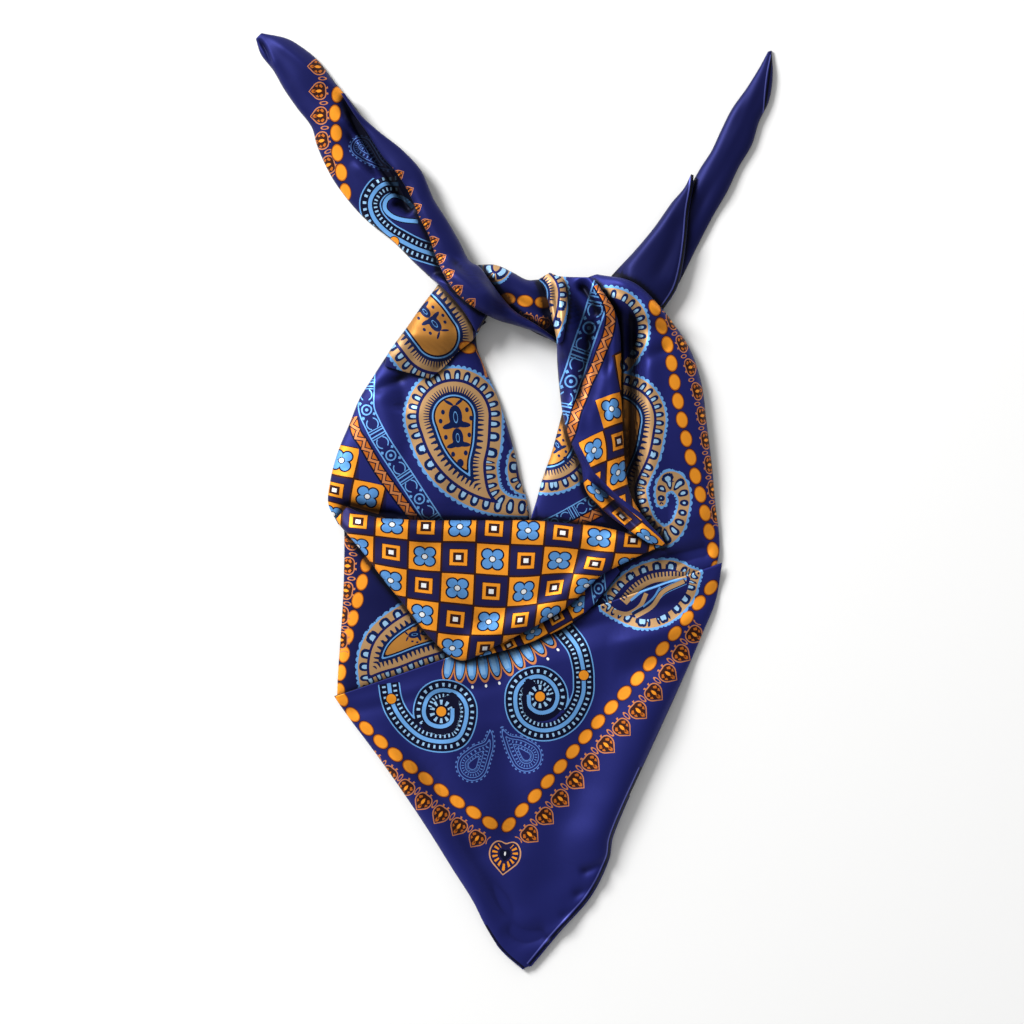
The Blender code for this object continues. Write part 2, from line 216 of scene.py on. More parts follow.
def hemTree():
    # a rolled hem along a path, with a row of stitches beside it
    tree = bpy.data.node_groups.new("rolledHem", "GeometryNodeTree")
    kinds = {"Path": "Geometry", **{name: "Float" for name in hemSizes}, "Silk": "Material"}
    for name, kind in kinds.items():
        tree.interface.new_socket(name, in_out="INPUT", socket_type="NodeSocket" + kind)
    tree.interface.new_socket("Cloth", in_out="OUTPUT", socket_type="NodeSocketGeometry")

    def node(kind, *values):
        return addNode(tree, "GeometryNode" + kind, *values)

    given = addNode(tree, "NodeGroupInput").outputs
    path = node("MeshToCurve", {"Mesh": given["Path"]}).outputs[0]
    ring = node("CurvePrimitiveCircle", {"Resolution": 8, "Radius": given["Roll"]})
    along = {"Curve": path, "Profile Curve": ring.outputs[0], "Fill Caps": True}
    roll = node("CurveToMesh", along)
    spacing = {"Curve": path, "Length": given["Stitch Pitch"]}
    spots = node("CurveToPoints", spacing, {"mode": "LENGTH"}).outputs
    size = {"Vertices": 6, "Radius": given["Thread"], "Depth": given["Stitch Length"]}
    thread = node("MeshCylinder", size).outputs["Mesh"]
    turn = {"Rotate By": addNode(tree, "FunctionNodeEulerToRotation", {"Euler": stitchLean}).outputs[0]}
    turn["Rotation"] = spots["Rotation"]
    lean = addNode(tree, "FunctionNodeRotateRotation", turn, {"rotation_space": "LOCAL"}).outputs[0]
    sewn = {"Points": spots["Points"], "Instance": thread, "Rotation": lean}
    lift = addNode(tree, "ShaderNodeCombineXYZ", {"Z": given["Roll"]}).outputs[0]
    raised = {"Instances": node("InstanceOnPoints", sewn).outputs[0], "Translation": lift}
    stitches = node("TranslateInstances", {**raised, "Local Space": False})
    both = node("JoinGeometry")
    tree.links.new(stitches.outputs[0], both.inputs[0])
    tree.links.new(roll.outputs[0], both.inputs[0])
    real = node("RealizeInstances", {"Geometry": both.outputs[0]})
    smooth = node("SetShadeSmooth", {"Geometry": real.outputs[0]}).outputs[0]
    dressed = node("SetMaterial", {"Geometry": smooth, "Material": given["Silk"]})
    addNode(tree, "NodeGroupOutput", {"Cloth": dressed.outputs[0]})
    return tree


def makeHem(name, top, hems):
    points, edges = [], []
    for side, start, end in hems:
        rows = slice(int(start * (len(top) - 1)), int(end * (len(top) - 1)) + 1)
        edge, inner = (top[rows, -1], top[rows, -3]) if side == "right" else (top[rows, 0], top[rows, 2])
        inwards = inner - edge
        inwards[:, 2] = 0
        inwards /= np.linalg.norm(inwards, axis=1)[:, None] + 1e-9
        line = edge + inwards
        line[:, 2] -= 0.2
        edges += [(len(points) + i, len(points) + i + 1) for i in range(len(line) - 1)]
        points += (line * mm).tolist()
    path = bpy.data.meshes.new(name + "_path")
    path.from_pydata(points, edges, [])
    guide = linked(name + "_path", path)
    modifier = guide.modifiers.new("hem", "NODES")
    modifier.node_group = hemTree()
    given = {**hemSizes, "Silk": silk(name + "_silk", usual)}
    for item in modifier.node_group.interface.items_tree:
        if item.name in given:
            modifier[item.identifier] = given[item.name]
    evaluated = guide.evaluated_get(bpy.context.evaluated_depsgraph_get())
    mesh = bpy.data.meshes.new_from_object(evaluated)
    mesh.name = name
    bpy.data.objects.remove(guide)
    hem = linked(name, mesh)
    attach(hem, "root")
    print(f"{name}: {len(mesh.polygons)} faces")
    return hem


def setPlaces(mesh, name, values):
    attribute = mesh.attributes.new(name, "FLOAT_VECTOR", "POINT")
    attribute.data.foreach_set("vector", values)


def layStretch(pile, piece):
    plan, across, rise = planOf(piece["sections"], piece["spacing"])
    crown = (1 - np.abs(2 * across - 1) ** piece["roundness"]) ** 0.5
    rest, padded = pile.under(plan, piece["reach"])
    relief = creaseHeight(plan, piece["creases"]) + slightWaves(plan, len(piece["node"]))
    body = np.maximum((rise[:, None] + relief) * crown[None, :], 0.0)
    full = np.ones((plan.shape[0], 1))
    if "startTaper" in piece:
        full = np.clip(np.arange(plan.shape[0]) * piece["spacing"] / piece["startTaper"], 0.0, 1.0)
        full = (cloth["leastEnd"] + (1 - cloth["leastEnd"]) * full * full * (3 - 2 * full))[:, None]
    top = np.dstack([plan, rest + (body + cloth["layer"]) * full])
    bottom = np.dstack([plan, rest + body * full if piece["wall"] else padded])
    pile.lay(top)
    mesh = shellMesh(piece["node"] + "_cloth", top, bottom)
    obj = linked(piece["node"] + "_cloth", mesh)
    for index, row in enumerate(piece["motifs"]):
        place = placeOf(plan, *row).reshape(-1, 3)
        setPlaces(mesh, f"motif{index}", np.concatenate([place, place]).ravel())
    mesh.materials.append(silk(piece["node"] + "_silk", piece))
    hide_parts(piece["node"])
    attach(obj, "root")
    trims = [makeHem(piece["node"] + "_hem", top, piece["hems"])] if "hems" in piece else []
    return mesh


def addCreaseShade(pile, mesh, share):
    # painted shade: how far each point lies below the cloth around it, kept as the strength of the shade
    # painted into folds, creases and under overlapping layers
    points = np.zeros(len(mesh.vertices) * 3)
    mesh.vertices.foreach_get("co", points)
    points = points.reshape(-1, 3) / mm
    broad, near = pile.around(points[:, :2], 5), pile.around(points[:, :2], 2)
    depth = np.clip((broad - points[:, 2] - 0.6) / 4.6, 0.0, 0.84)
    depth = np.clip(depth + np.clip((near - points[:, 2] - 0.3) / 3.0, 0.0, 0.6), 0.0, 0.93) * share
    setPlaces(mesh, "creaseShade", np.repeat(depth, 3))


# Where the print lies: each finder gives a motif's two coordinates, and how far inside it a point is.
def smoothLine(points, steps=8):
    table = np.array(points, float)
    table = np.concatenate([[2 * table[0] - table[1]], table, [2 * table[-1] - table[-2]]])
    line = []
    for a, b, c, d in zip(table[:-3], table[1:-2], table[2:-1], table[3:]):
        for t in np.arange(steps) / steps:
            line.append(b + 0.5 * t * (c - a + t * (2 * a - 5 * b + 4 * c - d + t * (3 * (b - c) + d - a))))
    return np.array([*line, table[-2]])


def besideLine(plan, where, motif):
    line = smoothLine(np.reshape(where, (-1, 2)))
    start, end = line[0] - line[1], line[-1] - line[-2]
    spare = 12.0  # the line goes on straight past its ends
    before = line[0] + start / np.linalg.norm(start) * spare
    after = line[-1] + end / np.linalg.norm(end) * spare
    away, along, side, length = awayFrom(plan, np.concatenate([[before], line, [after]]))
    run = length - 2 * spare
    count = motif.get("count", run)
    u = (along - spare) / run * count
    return u, away * side * motif.get("outward", 1), np.minimum(u + 0.5, count + 0.5 - u)


def alongScroll(plan, where, motif):
    # way along a curled line, distance from it, and room left to the end of its bands
    u, v, inside = besideLine(plan, where, motif)
    wide, half, bare = 8.9, 6.2, 2.4
    room = np.where(np.where(v > 0, u < motif["turnEnd"], u < motif["arm"]), wide, bare)
    room = np.where((v < 0) & (u > motif["arm"]) & (u < motif["turnEnd"] - 10), half, room)
    return u, np.abs(v), np.minimum(room - np.abs(v), inside * 2)


def bentGrid(plan, where, motif):
    # cell numbers from a few known cells, eased between them
    table = np.reshape(where, (-1, 4))
    places, cells = table[:, :2], table[:, 2:]

    def pull(points):
        apart = ((points[..., None, :] - places) ** 2).sum(axis=-1)
        return apart * np.log(apart + 1e-6)

    count = len(table)
    edge = np.hstack([np.ones((count, 1)), places])
    system = np.block([[pull(places) + 60 * np.eye(count), edge], [edge.T, np.zeros((3, 3))]])
    weights = np.linalg.solve(system, np.vstack([cells, np.zeros((3, 2))]))
    flat = np.dstack([np.ones(plan.shape[:2]), plan])
    spread = pull(plan) @ weights[:count] + flat @ weights[count:]
    return spread[..., 0], spread[..., 1], 1.0


def insideLeaf(plan, where, motif):
    # depth inside a leaf drawn by a circle that shrinks along a spine, and the way along its outline
    line = smoothLine(np.reshape(where, (-1, 3)), 10)
    centres, radii = line[:, :2], line[:, 2]
    steps = np.linalg.norm(np.diff(centres, axis=0), axis=1)
    walked = np.concatenate([[0.0], np.cumsum(steps)])
    tangents = np.gradient(centres, walked, axis=0)
    tangents /= np.linalg.norm(tangents, axis=1)[:, None]
    shrink = np.gradient(radii, walked)
    depth = np.full(plan.shape[:2], -np.inf)
    along = np.zeros(plan.shape[:2])
    last = len(centres) - 1
    for i, (centre, radius) in enumerate(zip(centres, radii)):
        apart = plan - centre
        away = np.linalg.norm(apart, axis=-1) + 1e-6
        slip = apart @ tangents[i] + shrink[i] * away
        way = walked[i] + slip
        if i in (0, last):  # round the end
            lean = np.clip(apart @ tangents[i] / away, -1, 1)
            past = np.arcsin(lean) + math.asin(np.clip(shrink[i], -1, 1))
            way = np.where(slip > 0 if i else slip < 0, walked[i] + radius * past, way)
        near = radius - away > depth
        depth = np.where(near, radius - away, depth)
        along = np.where(near, way, along)
    return depth, along, 1.0


def aboutCentre(plan, where, motif):
    turn, size = math.radians(motif.get("turn", 0.0)), motif.get("size", 1.0)
    x, y = np.moveaxis(plan - np.array(where, float), -1, 0)
    across, along = x * math.cos(turn) + y * math.sin(turn), y * math.cos(turn) - x * math.sin(turn)
    return across / size, along / size, 1.0


def insideFan(plan, where, motif):
    apart = plan - np.array(where, float)
    angle = np.arctan2(apart[..., 1], apart[..., 0])
    turns = (angle - math.radians(motif["start"])) / math.radians(motif["step"])
    inside = np.minimum(turns + 0.5, motif["petals"] - 0.5 - turns)
    return turns, motif["radius"] - np.linalg.norm(apart, axis=-1), inside


def insideOf(plan, corners):
    points = np.reshape(corners, (-1, 2))
    nextOnes = np.roll(points, -1, axis=0)
    turning = np.sign(np.sum(points[:, 0] * nextOnes[:, 1] - nextOnes[:, 0] * points[:, 1]))
    inside = np.full(plan.shape[:2], np.inf)
    for here, there in zip(points, nextOnes):
        run = (there - here) / np.linalg.norm(there - here)
        apart = plan - here
        inside = np.minimum(inside, turning * (run[0] * apart[..., 1] - run[1] * apart[..., 0]))
    return inside


def placeOf(plan, draw, where, motif):
    u, v, inside = finders.get(draw, aboutCentre)(plan, where, motif)
    if "within" in motif:
        inside = np.minimum(inside, np.max([insideOf(plan, patch) for patch in motif["within"]], axis=0))
    return np.dstack(np.broadcast_arrays(u, v, inside))


class Value:
    # a number in a material, worked on as if in a formula
    def __init__(self, tree, socket):
        self.tree, self.socket = tree, socket

    def __abs__(self):
        return work("ABSOLUTE", self)


operations = {
    "add": "ADD", "sub": "SUBTRACT", "mul": "MULTIPLY", "truediv": "DIVIDE", "pow": "POWER",
    "lt": "LESS_THAN", "gt": "GREATER_THAN", "or": "MAXIMUM", "and": "MULTIPLY",
}
for method, operation in operations.items():
    setattr(Value, f"__{method}__", lambda a, b, how=operation: work(how, a, b))
    setattr(Value, f"__r{method}__", lambda a, b, how=operation: work(how, b, a))


def work(how, *values):
    tree = next(value.tree for value in values if isinstance(value, Value))
    node = addNode(tree, "ShaderNodeMath", dict(enumerate(values)), {"operation": how})
    return Value(tree, node.outputs[0])


# part is what is left past the last whole number
cos, root, part = (partial(work, how) for how in ("COSINE", "SQRT", "FRACT"))


def off(value):
    return abs(part(value) - 0.5)  # distance from the middle of a repeat


def square(value):
    return value * value


def oval(x, y, middleX, middleY, halfX, halfY):
    return square((x - middleX) / halfX) + square((y - middleY) / halfY)  # 1 at the outline


def polar(x, y):
    return root(x * x + y * y), work("ARCTAN2", x, y)


def stored(tree, name):
    attribute = addNode(tree, "ShaderNodeAttribute", settings={"attribute_name": name})
    split = addNode(tree, "ShaderNodeSeparateXYZ", {0: attribute.outputs["Vector"]})
    return [Value(tree, split.outputs[i]) for i in range(3)]


def paint(under, over, mask):
    under, over = (c if isinstance(c, bpy.types.NodeSocket) else (*c, 1.0) for c in (under, over))
    settings = {"data_type": "RGBA", "blend_type": "MIX"}
    return addNode(mask.tree, "ShaderNodeMix", {0: mask, 6: under, 7: over}, settings).outputs[2]


def tint(red, green, blue):
    # screen colour to the shader's own
    shares = (red / 255, green / 255, blue / 255)
    return tuple(c / 12.92 if c < 0.0404 else ((c + 0.055) / 1.055) ** 2.4 for c in shares)


# the near-black ink only paints shade, and the light navy ink beside the hems is a painted highlight of the
# rolled hem
inks = {
    "navy": (36, 41, 114), "deep": (26, 30, 92), "dark": (9, 12, 42), "ink": (13, 31, 80),
    "fold": (4, 5, 16), "plum": (33, 30, 78), "orange": (250, 158, 42), "rust": (196, 106, 32),
    "brown": (56, 26, 20), "copper": (206, 130, 76), "beige": (192, 152, 106), "gold": (196, 134, 60),
    "blue": (96, 156, 220), "pale": (160, 204, 240), "line": (110, 170, 232), "white": (238, 240, 242),
    "blush": (222, 164, 120), "thin": (98, 138, 212), "seam": (92, 98, 178), "petal": (132, 184, 234),
}
inks = {name: tint(*screen) for name, screen in inks.items()}


# Each drawing gives the inks that it paints in turn, with where each goes.
def beads(u, v, motif):
    along = (part(u + 0.5) - 0.5) * (motif["pitch"] / 6.7)
    reach = along * along + square(v / 4.6)
    return [("brown", reach < 1.22), ("rust", reach < 1.0), ("orange", reach < 0.74)]


def heartEdge(angle, size, shoulder, notch, sharpness):
    return size / cos((shoulder - angle) | 0.0) - notch * ((cos(angle) * -1.0) | 0.0) ** sharpness


def hearts(u, v, motif):
    size = motif.get("size", 1.0)
    v = v / (motif.get("squeeze", 1.0) * size)
    x = (part(u + 0.5) - 0.5) * (motif["pitch"] / size)
    radius, angle = polar(abs(x), v)
    edge = heartEdge(angle, 6.2, 0.78, 1.6, 4)
    fromBack, turning = polar(abs(x), v + 4.6)
    fromBack = fromBack / edge
    petals = (cos(turning * 12.0) > 0.1) & (abs(fromBack - 1.34) < 0.2) & (radius < edge * 0.82)
    petals |= (cos(turning * 8.0) > 0.1) & (abs(fromBack - 0.82) < 0.2) & (radius < edge * 0.8)
    crown = (cos(angle * 9.0) > 0.55) & (angle > 2.3) & (abs(radius - edge - 1.2) < 0.8)
    bud = oval((part(u) - 0.5) * motif["pitch"], v, 0.0, -2.6, 1.3 * size, 3.2)
    return [
        ("plum", radius < edge), ("brown", radius < edge * 0.86), ("rust", petals),
        ("orange", oval(x, v, 0.0, 0.8, 1.1, 2.0) < 1.0), ("copper", (abs(radius - edge) < 0.42) | crown),
        ("copper", abs(bud - 0.8) < 0.36),
    ]


def cornerHeart(x, y, motif):
    radius, angle = polar(abs(x), y * -1.0)
    edge = heartEdge(angle, 12.4, 0.76, 4.4, 8)
    spokes = (cos(angle * 15.0) > 0.15) & (abs(radius - edge * 0.66) < edge * 0.17) & (angle < 2.5)
    return [
        ("plum", radius < edge), ("orange", spokes), ("dark", radius < edge * 0.36),
        ("blush", abs(radius - edge) < 0.55), ("white", oval(x, y, 0.0, 0.0, 0.8, 1.6) < 1.0),
    ]


def checks(i, j, motif):
    a, b = off(i + 0.5), off(j + 0.5)
    cell = work("FLOOR", i + 0.5) + work("FLOOR", j + 0.5) + motif.get("first", 0)
    flower = part(cell / 2.0) > 0.25
    plain = 1.0 - flower
    wide = a | b
    middle = root(a * a + b * b)
    petal = root(square(a - 0.15) + square(b - 0.15))
    return [
        ("plum", plain), ("brown", wide > 0.468), ("orange", (wide < 0.468) & flower),
        ("dark", ((petal < 0.195) | (middle < 0.12)) & flower), ("blue", (petal < 0.148) & flower),
        ("dark", (middle < 0.108) & flower), ("brown", (wide < 0.285) & plain),
        ("orange", (wide < 0.258) & plain), ("brown", (wide < 0.16) & plain),
        ("white", ((middle < 0.078) & flower) | ((wide < 0.075) & plain)),
    ]


def paisley(depth, way, motif):
    depth = depth / motif.get("squeeze", 1.0)
    lobe = off(way / 4.6)
    shown = depth > 1.7 * lobe * lobe * 4.0 - 0.4
    across = (part(way / motif.get("pitch", 9.6)) - 0.5) * 9.6
    hoop = square(across / 3.3) + square(square((depth - 10.8) / 7.5))
    hole = square(across / 1.6) + square(square((depth - 10.8) / 4.9))
    rim = [
        ("line", shown), ("beige", (depth > 2.3) & shown), ("ink", (hoop < 1.0) & shown),
        ("pale", (hole < 1.0) & shown), ("deep", (depth > 10.6) & shown),
    ]
    if motif.get("rimOnly"):
        return rim
    tooth = off(way / 4.0) * 4.0
    comb = (depth > 21.0) | ((tooth < 1.15) & (depth > 16.2 + tooth * tooth * 3.2))
    inner = {"line": 23.4, "dark": 24.6, "gold": 26.0}
    return [
        *rim, ("beige", (depth > 13.0) & shown), ("ink", comb & shown),
        *((ink, (depth > start) & shown) for ink, start in inner.items()),
    ]


def outlinedLeaf(depth, way, motif):
    ticks = (off(way / 3.3) < 0.17) & (abs(depth - 4.6) < 1.0)
    dots = (off(way / 3.6) < 0.22) & (abs(depth + 0.9) < 0.5)
    lines = (abs(depth - 0.4) < 0.36) | (abs(depth - 2.6) < 0.3) | (abs(depth - 6.6) < 0.3)
    seed = (abs(depth - 9.0) < 0.3) | ((off(way / 2.6) < 0.2) & (abs(depth - 8.0) < 0.5))
    return [("thin", ticks | dots | lines | seed)]


def filigree(u, v, motif):
    half = 5.6
    grow = motif.get("half", half) / half
    pitch = motif["pitch"] / grow
    x, y = off(u) * pitch, abs(v) / grow
    bars = (abs(x - (pitch / 2 - 1.4)) < 0.45) | (abs(x - (pitch / 2 - 3.2)) < 0.3)
    ring = root(x * x + y * y)
    arc = root(square(x - 10.8) + y * y)
    lines = (abs(ring - 3.4) < 0.5) | (ring < 1.15) | ((abs(arc - 4.1) < 0.4) & (y > 2.0))
    lines = lines | ((abs(x - 4.7) + abs(y - 4.2)) < 1.3) | bars | (abs(y - half) < 0.45)
    band = y < half + 0.55
    return [("deep", band), ("line", lines & band)]


def rope(u, v, motif):
    apart = abs(v - (off(u / 10.4) * 10.0 - 2.5))
    return [
        ("dark", abs(v) < 4.7), ("rust", (abs(v) < 3.3) & (apart > 2.5)),
        ("copper", (abs(v) < 4.2) & (apart < 1.35)),
    ]


def scroll(u, apart, motif):
    ticks = (off(u / 4.1) < 0.18) & (abs(apart - 4.4) < 1.4)
    return [("dark", 1.0), ("pale", ticks), ("line", (apart < 1.55) | (abs(apart - 8.3) < 0.5))]


def star(x, y, motif):
    radius, angle = polar(x, y)
    rays = (cos(angle * 10.0) > 0.2) & (abs(radius - 7.4) < 1.9)
    around = [("dark", radius < 20.0), ("pale", rays)] if motif.get("rays", True) else []
    return [*around, ("dark", radius < 4.6), ("orange", radius < 3.9)]


def fan(u, v, motif):
    x = (part(u + 0.5) - 0.5) * motif["pitch"]
    inner = oval(x, v, 0.0, 16.0, 4.0, 14.2) < 1.0
    return [
        ("copper", oval(x, v, 0.0, 14.6, 5.6, 16.2) < 1.0),
        ("dark", oval(x, v, 0.0, 16.0, 4.8, 15.5) < 1.0), ("blue", inner),
        ("petal", (abs(x + 0.6) < 1.9) & (v > 5.0) & inner),
        ("white", oval(x, v, 0.0, -4.2, 0.9, 1.3) < 1.0),
    ]


def sprig(x, y, motif):
    side = abs(x)

    def blob(*shape):
        return oval(side, y, *shape)

    def leaning(middleX, middleY, halfLong, halfWide, lean):
        dx, dy = side - middleX, y - middleY
        long, wide = dx * math.cos(lean) + dy * math.sin(lean), dy * math.cos(lean) - dx * math.sin(lean)
        return square(long / halfLong) + square(wide / halfWide) < 1.0

    def bell(middle, size):
        dome = blob(0.0, middle, 5.6 * size, 9.4 * size) < 1.0
        brim = leaning(5.4 * size, middle - 7.6 * size, 6.6 * size, 2.5 * size, -0.2)
        return dome | brim | (blob(0.0, middle - 6.2 * size, 6.2 * size, 3.9 * size) < 1.0)

    shapes = bell(5.5, 1.0) | bell(-12.6, 0.84) | leaning(4.6, 17.4, 4.4, 1.3, 0.62)
    dots = [(10.2, 10.0, 1.6, 2.1), (13.0, 2.6, 1.6, 2.1), (10.0, -11.5, 1.6, 2.1)]
    dots += [(5.4, -26.5, 1.7, 2.2), (0.0, -34.5, 2.8, 3.5), (0.0, -43.5, 1.6, 2.1)]
    for dot in dots:
        shapes |= blob(*dot) < 1.0
    rings = (abs(blob(0, 4.6, 1.7, 4.6) - 1.0) < 0.24) | (abs(blob(0, -13.0, 1.4, 3.6) - 1.0) < 0.26)
    return [("ink", shapes), ("line", rings)]


def stripe(u, v, motif):
    half, teeth = motif["half"], motif.get("teeth")
    comb = [("ink", (off(u / teeth) < 0.24) & (abs(v - half * 0.5) < half * 0.5))] if teeth else []
    return [(motif["ink"], abs(v) < half), *comb]


finders = {
    scroll: alongScroll, checks: bentGrid, paisley: insideLeaf, outlinedLeaf: insideLeaf, fan: insideFan,
    **{draw: besideLine for draw in (beads, hearts, filigree, rope, stripe)},
}

# satin: half metal, so that its shine takes the dye's colour
silkFinish = {"Metallic": 0.5, "Specular IOR Level": 0.18, "Sheen Weight": 0.02, "Sheen Roughness": 0.4}
silkWeave = {"roughness": 0.5, "uneven": 0.08, "threads": 2400.0, "strength": 0.12, "depth": 0.0003}


def silk(name, piece):
    material = bpy.data.materials.new(name)
    material.use_nodes = True
    tree = material.node_tree
    node = partial(addNode, tree)
    spots = {"Vector": node("ShaderNodeTexCoord").outputs["Object"]}
    grains = ({"Scale": 18.0, "Detail": 2.0}, {"Scale": silkWeave["threads"], "Detail": 1.0})
    noises = (node("ShaderNodeTexNoise", {**spots, **grain}) for grain in grains)
    cloud, threads = (Value(tree, noise.outputs[0]) for noise in noises)
    # painted shade: some pieces get a darker copy of the navy ground
    deep, navy = (tuple(c * piece["navyShading"] for c in inks[ink]) for ink in ("deep", "navy"))
    ground = paint(deep, navy, cloud * 0.5 + 0.4)
    for index, (draw, _, motif) in enumerate(piece["motifs"]):
        u, v, inside = stored(tree, f"motif{index}")
        shown = inside > 0
        for ink, mask in draw(u, v, motif):
            ground = paint(ground, inks[ink], mask & shown)
    # painted shade: near-black shade ink over folds, creases and overlaps, and over the whole piece by its
    # shade share
    ground = paint(ground, inks["fold"], stored(tree, "creaseShade")[0] * (1.0 - piece["shade"]) + piece["shade"])
    uneven = silkWeave["uneven"]
    rough = silkWeave["roughness"] + uneven * (cloud - 0.5) + uneven * (threads - 0.5)
    weave = {"Height": threads, "Strength": silkWeave["strength"], "Distance": silkWeave["depth"]}
    bump = node("ShaderNodeBump", weave).outputs[0]
    shader = tree.nodes["Principled BSDF"]
    for name, socket in {"Base Color": ground, "Roughness": rough.socket, "Normal": bump}.items():
        tree.links.new(socket, shader.inputs[name])
    for name, value in silkFinish.items():
        shader.inputs[name].default_value = value
    return material


def put(draw, where, **motif):
    return draw, where, motif  # where is a line's x and y, a leaf's x, y and radius or a grid's x, y, i and j


usual = {
    "slot": "printed_silk", "wall": False, "held": "folded", "reach": 6, "roundness": 3,
    "navyShading": 1.0, "shade": 0.0, "creaseShadeShare": 1.0,  # painted shade: a darker navy ground, shade over the whole piece, and the share of shade painted into folds
    "creases": [], "motifs": [],
}
pile = Pile()


# parts of the print that two stretches show
bandBead = put(beads, [-38, 123, -23, 120], count=1, pitch=15.4)
lowerFiligree = put(filigree, [65, -47, 67, -71, 71, -92], count=1, pitch=38)
foldedLeaf = [
    put(paisley, [73, -84, 6.4, 88, -80, 17.6, 106, -76, 27.2, 122, -69, 24, 136, -63, 12.8, 146, -58, 4.8],
        squeeze=0.84, pitch=7, rimOnly=True),
    put(stripe, [87, -80, 97, -69, 109, -62, 122, -60, 137, -60], ink="beige", half=3.8, teeth=2.8),
    put(stripe, [93, -79, 102, -72, 113, -68, 124, -64, 137, -62], ink="line", half=1),
    put(stripe, [79, -88, 90, -90, 100, -84, 105, -74], ink="beige", half=1.7),
    put(stripe, [95, -91, 109, -82, 119, -72, 136, -64], ink="line", half=2.7),
    put(stripe, [95, -91, 109, -82, 119, -72, 136, -64], ink="ink", half=2.3),
    put(stripe, [97, -92, 110, -84, 119, -72, 135, -64], ink="beige", half=1.7),
    put(stripe, [103, -84, 111, -77, 116, -69], ink="blue", half=0.8),
]

bibBack = dict(node="bib_back", slot="navy_silk", wall=True, restsOn=[], spacing=3, reach=3, roundness=8,
    sections=[
    (-132, -30, 120, -36, 0), (-132, -80, 156, -46, 0), (-136, -140, 156, -66, 0), (-108, -200, 141, -110, 0),
    (-66, -262, 112, -178, 0), (-30, -318, 80, -247, 0), (-20, -340, 70, -274, 0), (-6, -357, 56, -312, 0),
    (4, -369, 24, -354, 0),
])
rightTail = dict(node="right_tail", slot="navy_silk", held="gathered", restsOn=[], navyShading=0.62, shade=0.12,
    spacing=1.1, sections=[
    (203, 361, 206, 362, 1), (196, 348, 207, 342, 4), (186, 332, 204, 322, 5), (174, 315, 196, 305, 6),
    (165, 297, 190, 286, 6), (158, 282, 180, 269, 6), (149, 268, 170, 248, 6), (141, 254, 160, 231, 5),
    (132, 240, 150, 212, 5), (120, 222, 140, 192, 5), (106, 202, 131, 174, 5), (92, 184, 119, 154, 5),
], creases=[
    (199, 345, 180, 297, 148, 241, 4, 1), (194, 329, 166, 281, 140, 217, 5, -1.2),
    (185, 313, 153, 264, 126, 209, 6, 0.9),
], motifs=[
    # painted shade along the hemmed edge, and beside it a painted highlight of the rolled hem
    put(stripe, [206, 358, 204, 344, 202, 328, 200, 313], ink="fold", half=0.8),
    put(stripe, [205, 358, 202, 344, 200, 328, 199, 312], ink="seam", half=0.45),
])
rightTailFlap = dict(node="right_tail_flap", slot="navy_silk", held="gathered", restsOn=["right_tail"],
    navyShading=0.56, shade=0.12, spacing=1.1, hems=[("right", 0.04, 0.96)], sections=[
    (141, 262, 143, 261, 1), (136, 252, 142, 250, 3), (126, 240, 139, 233, 4), (111, 219, 137, 210, 5),
    (95, 200, 134, 188, 5), (79, 183, 129, 170, 6), (68, 170, 118, 153, 6),
], creases=[
    (129, 241, 108, 212, 84, 185, 7, 1.6), (135, 233, 126, 201, 108, 172, 6, -1.6),
    (138, 217, 135, 192, 122, 168, 4, 1.4),
], motifs=[
    # painted shade along the hemmed edge, and beside it a painted highlight of the rolled hem
    put(stripe, [142, 261, 141, 250, 138, 233, 136, 210, 133, 188, 128, 170, 117, 154], ink="fold", half=1.1),
    put(stripe, [140, 261, 139, 250, 136, 233, 134, 210, 131, 189, 126, 171, 116, 155], ink="seam", half=0.5),
])
crossBand = dict(node="cross_band", held="gathered", restsOn=["right_tail_flap"], navyShading=0.7, spacing=1,
    roundness=2.5, sections=[
    (-30, 190, -22, 170, 7), (-16, 190, -12, 158, 10), (-2, 184, 0, 148, 11), (10, 178, 12, 138, 12),
    (22, 178, 26, 131, 12), (36, 172, 40, 128, 8),
], creases=[
    (-23, 187, 0, 177, 24, 169, 5, 1.6), (-12, 169, 12, 155, 34, 147, 4, -2.4),
    (-8, 152, 12, 140, 33, 131, 4, 1.4), (10, 180, 20, 164, 30, 147, 5, -1.8),
], motifs=[
    put(beads, [-20, 164, -5, 162, 10, 160, 23, 159, 36, 156], count=4, pitch=15),
    put(hearts, [-3, 149, 10, 146, 24, 143, 36, 139], count=3, pitch=13.6, size=0.78, outward=-1),
    put(paisley, [-14, 192, 13.6, -15, 187, 12.8, -16, 184, 10.4], squeeze=0.8),
])
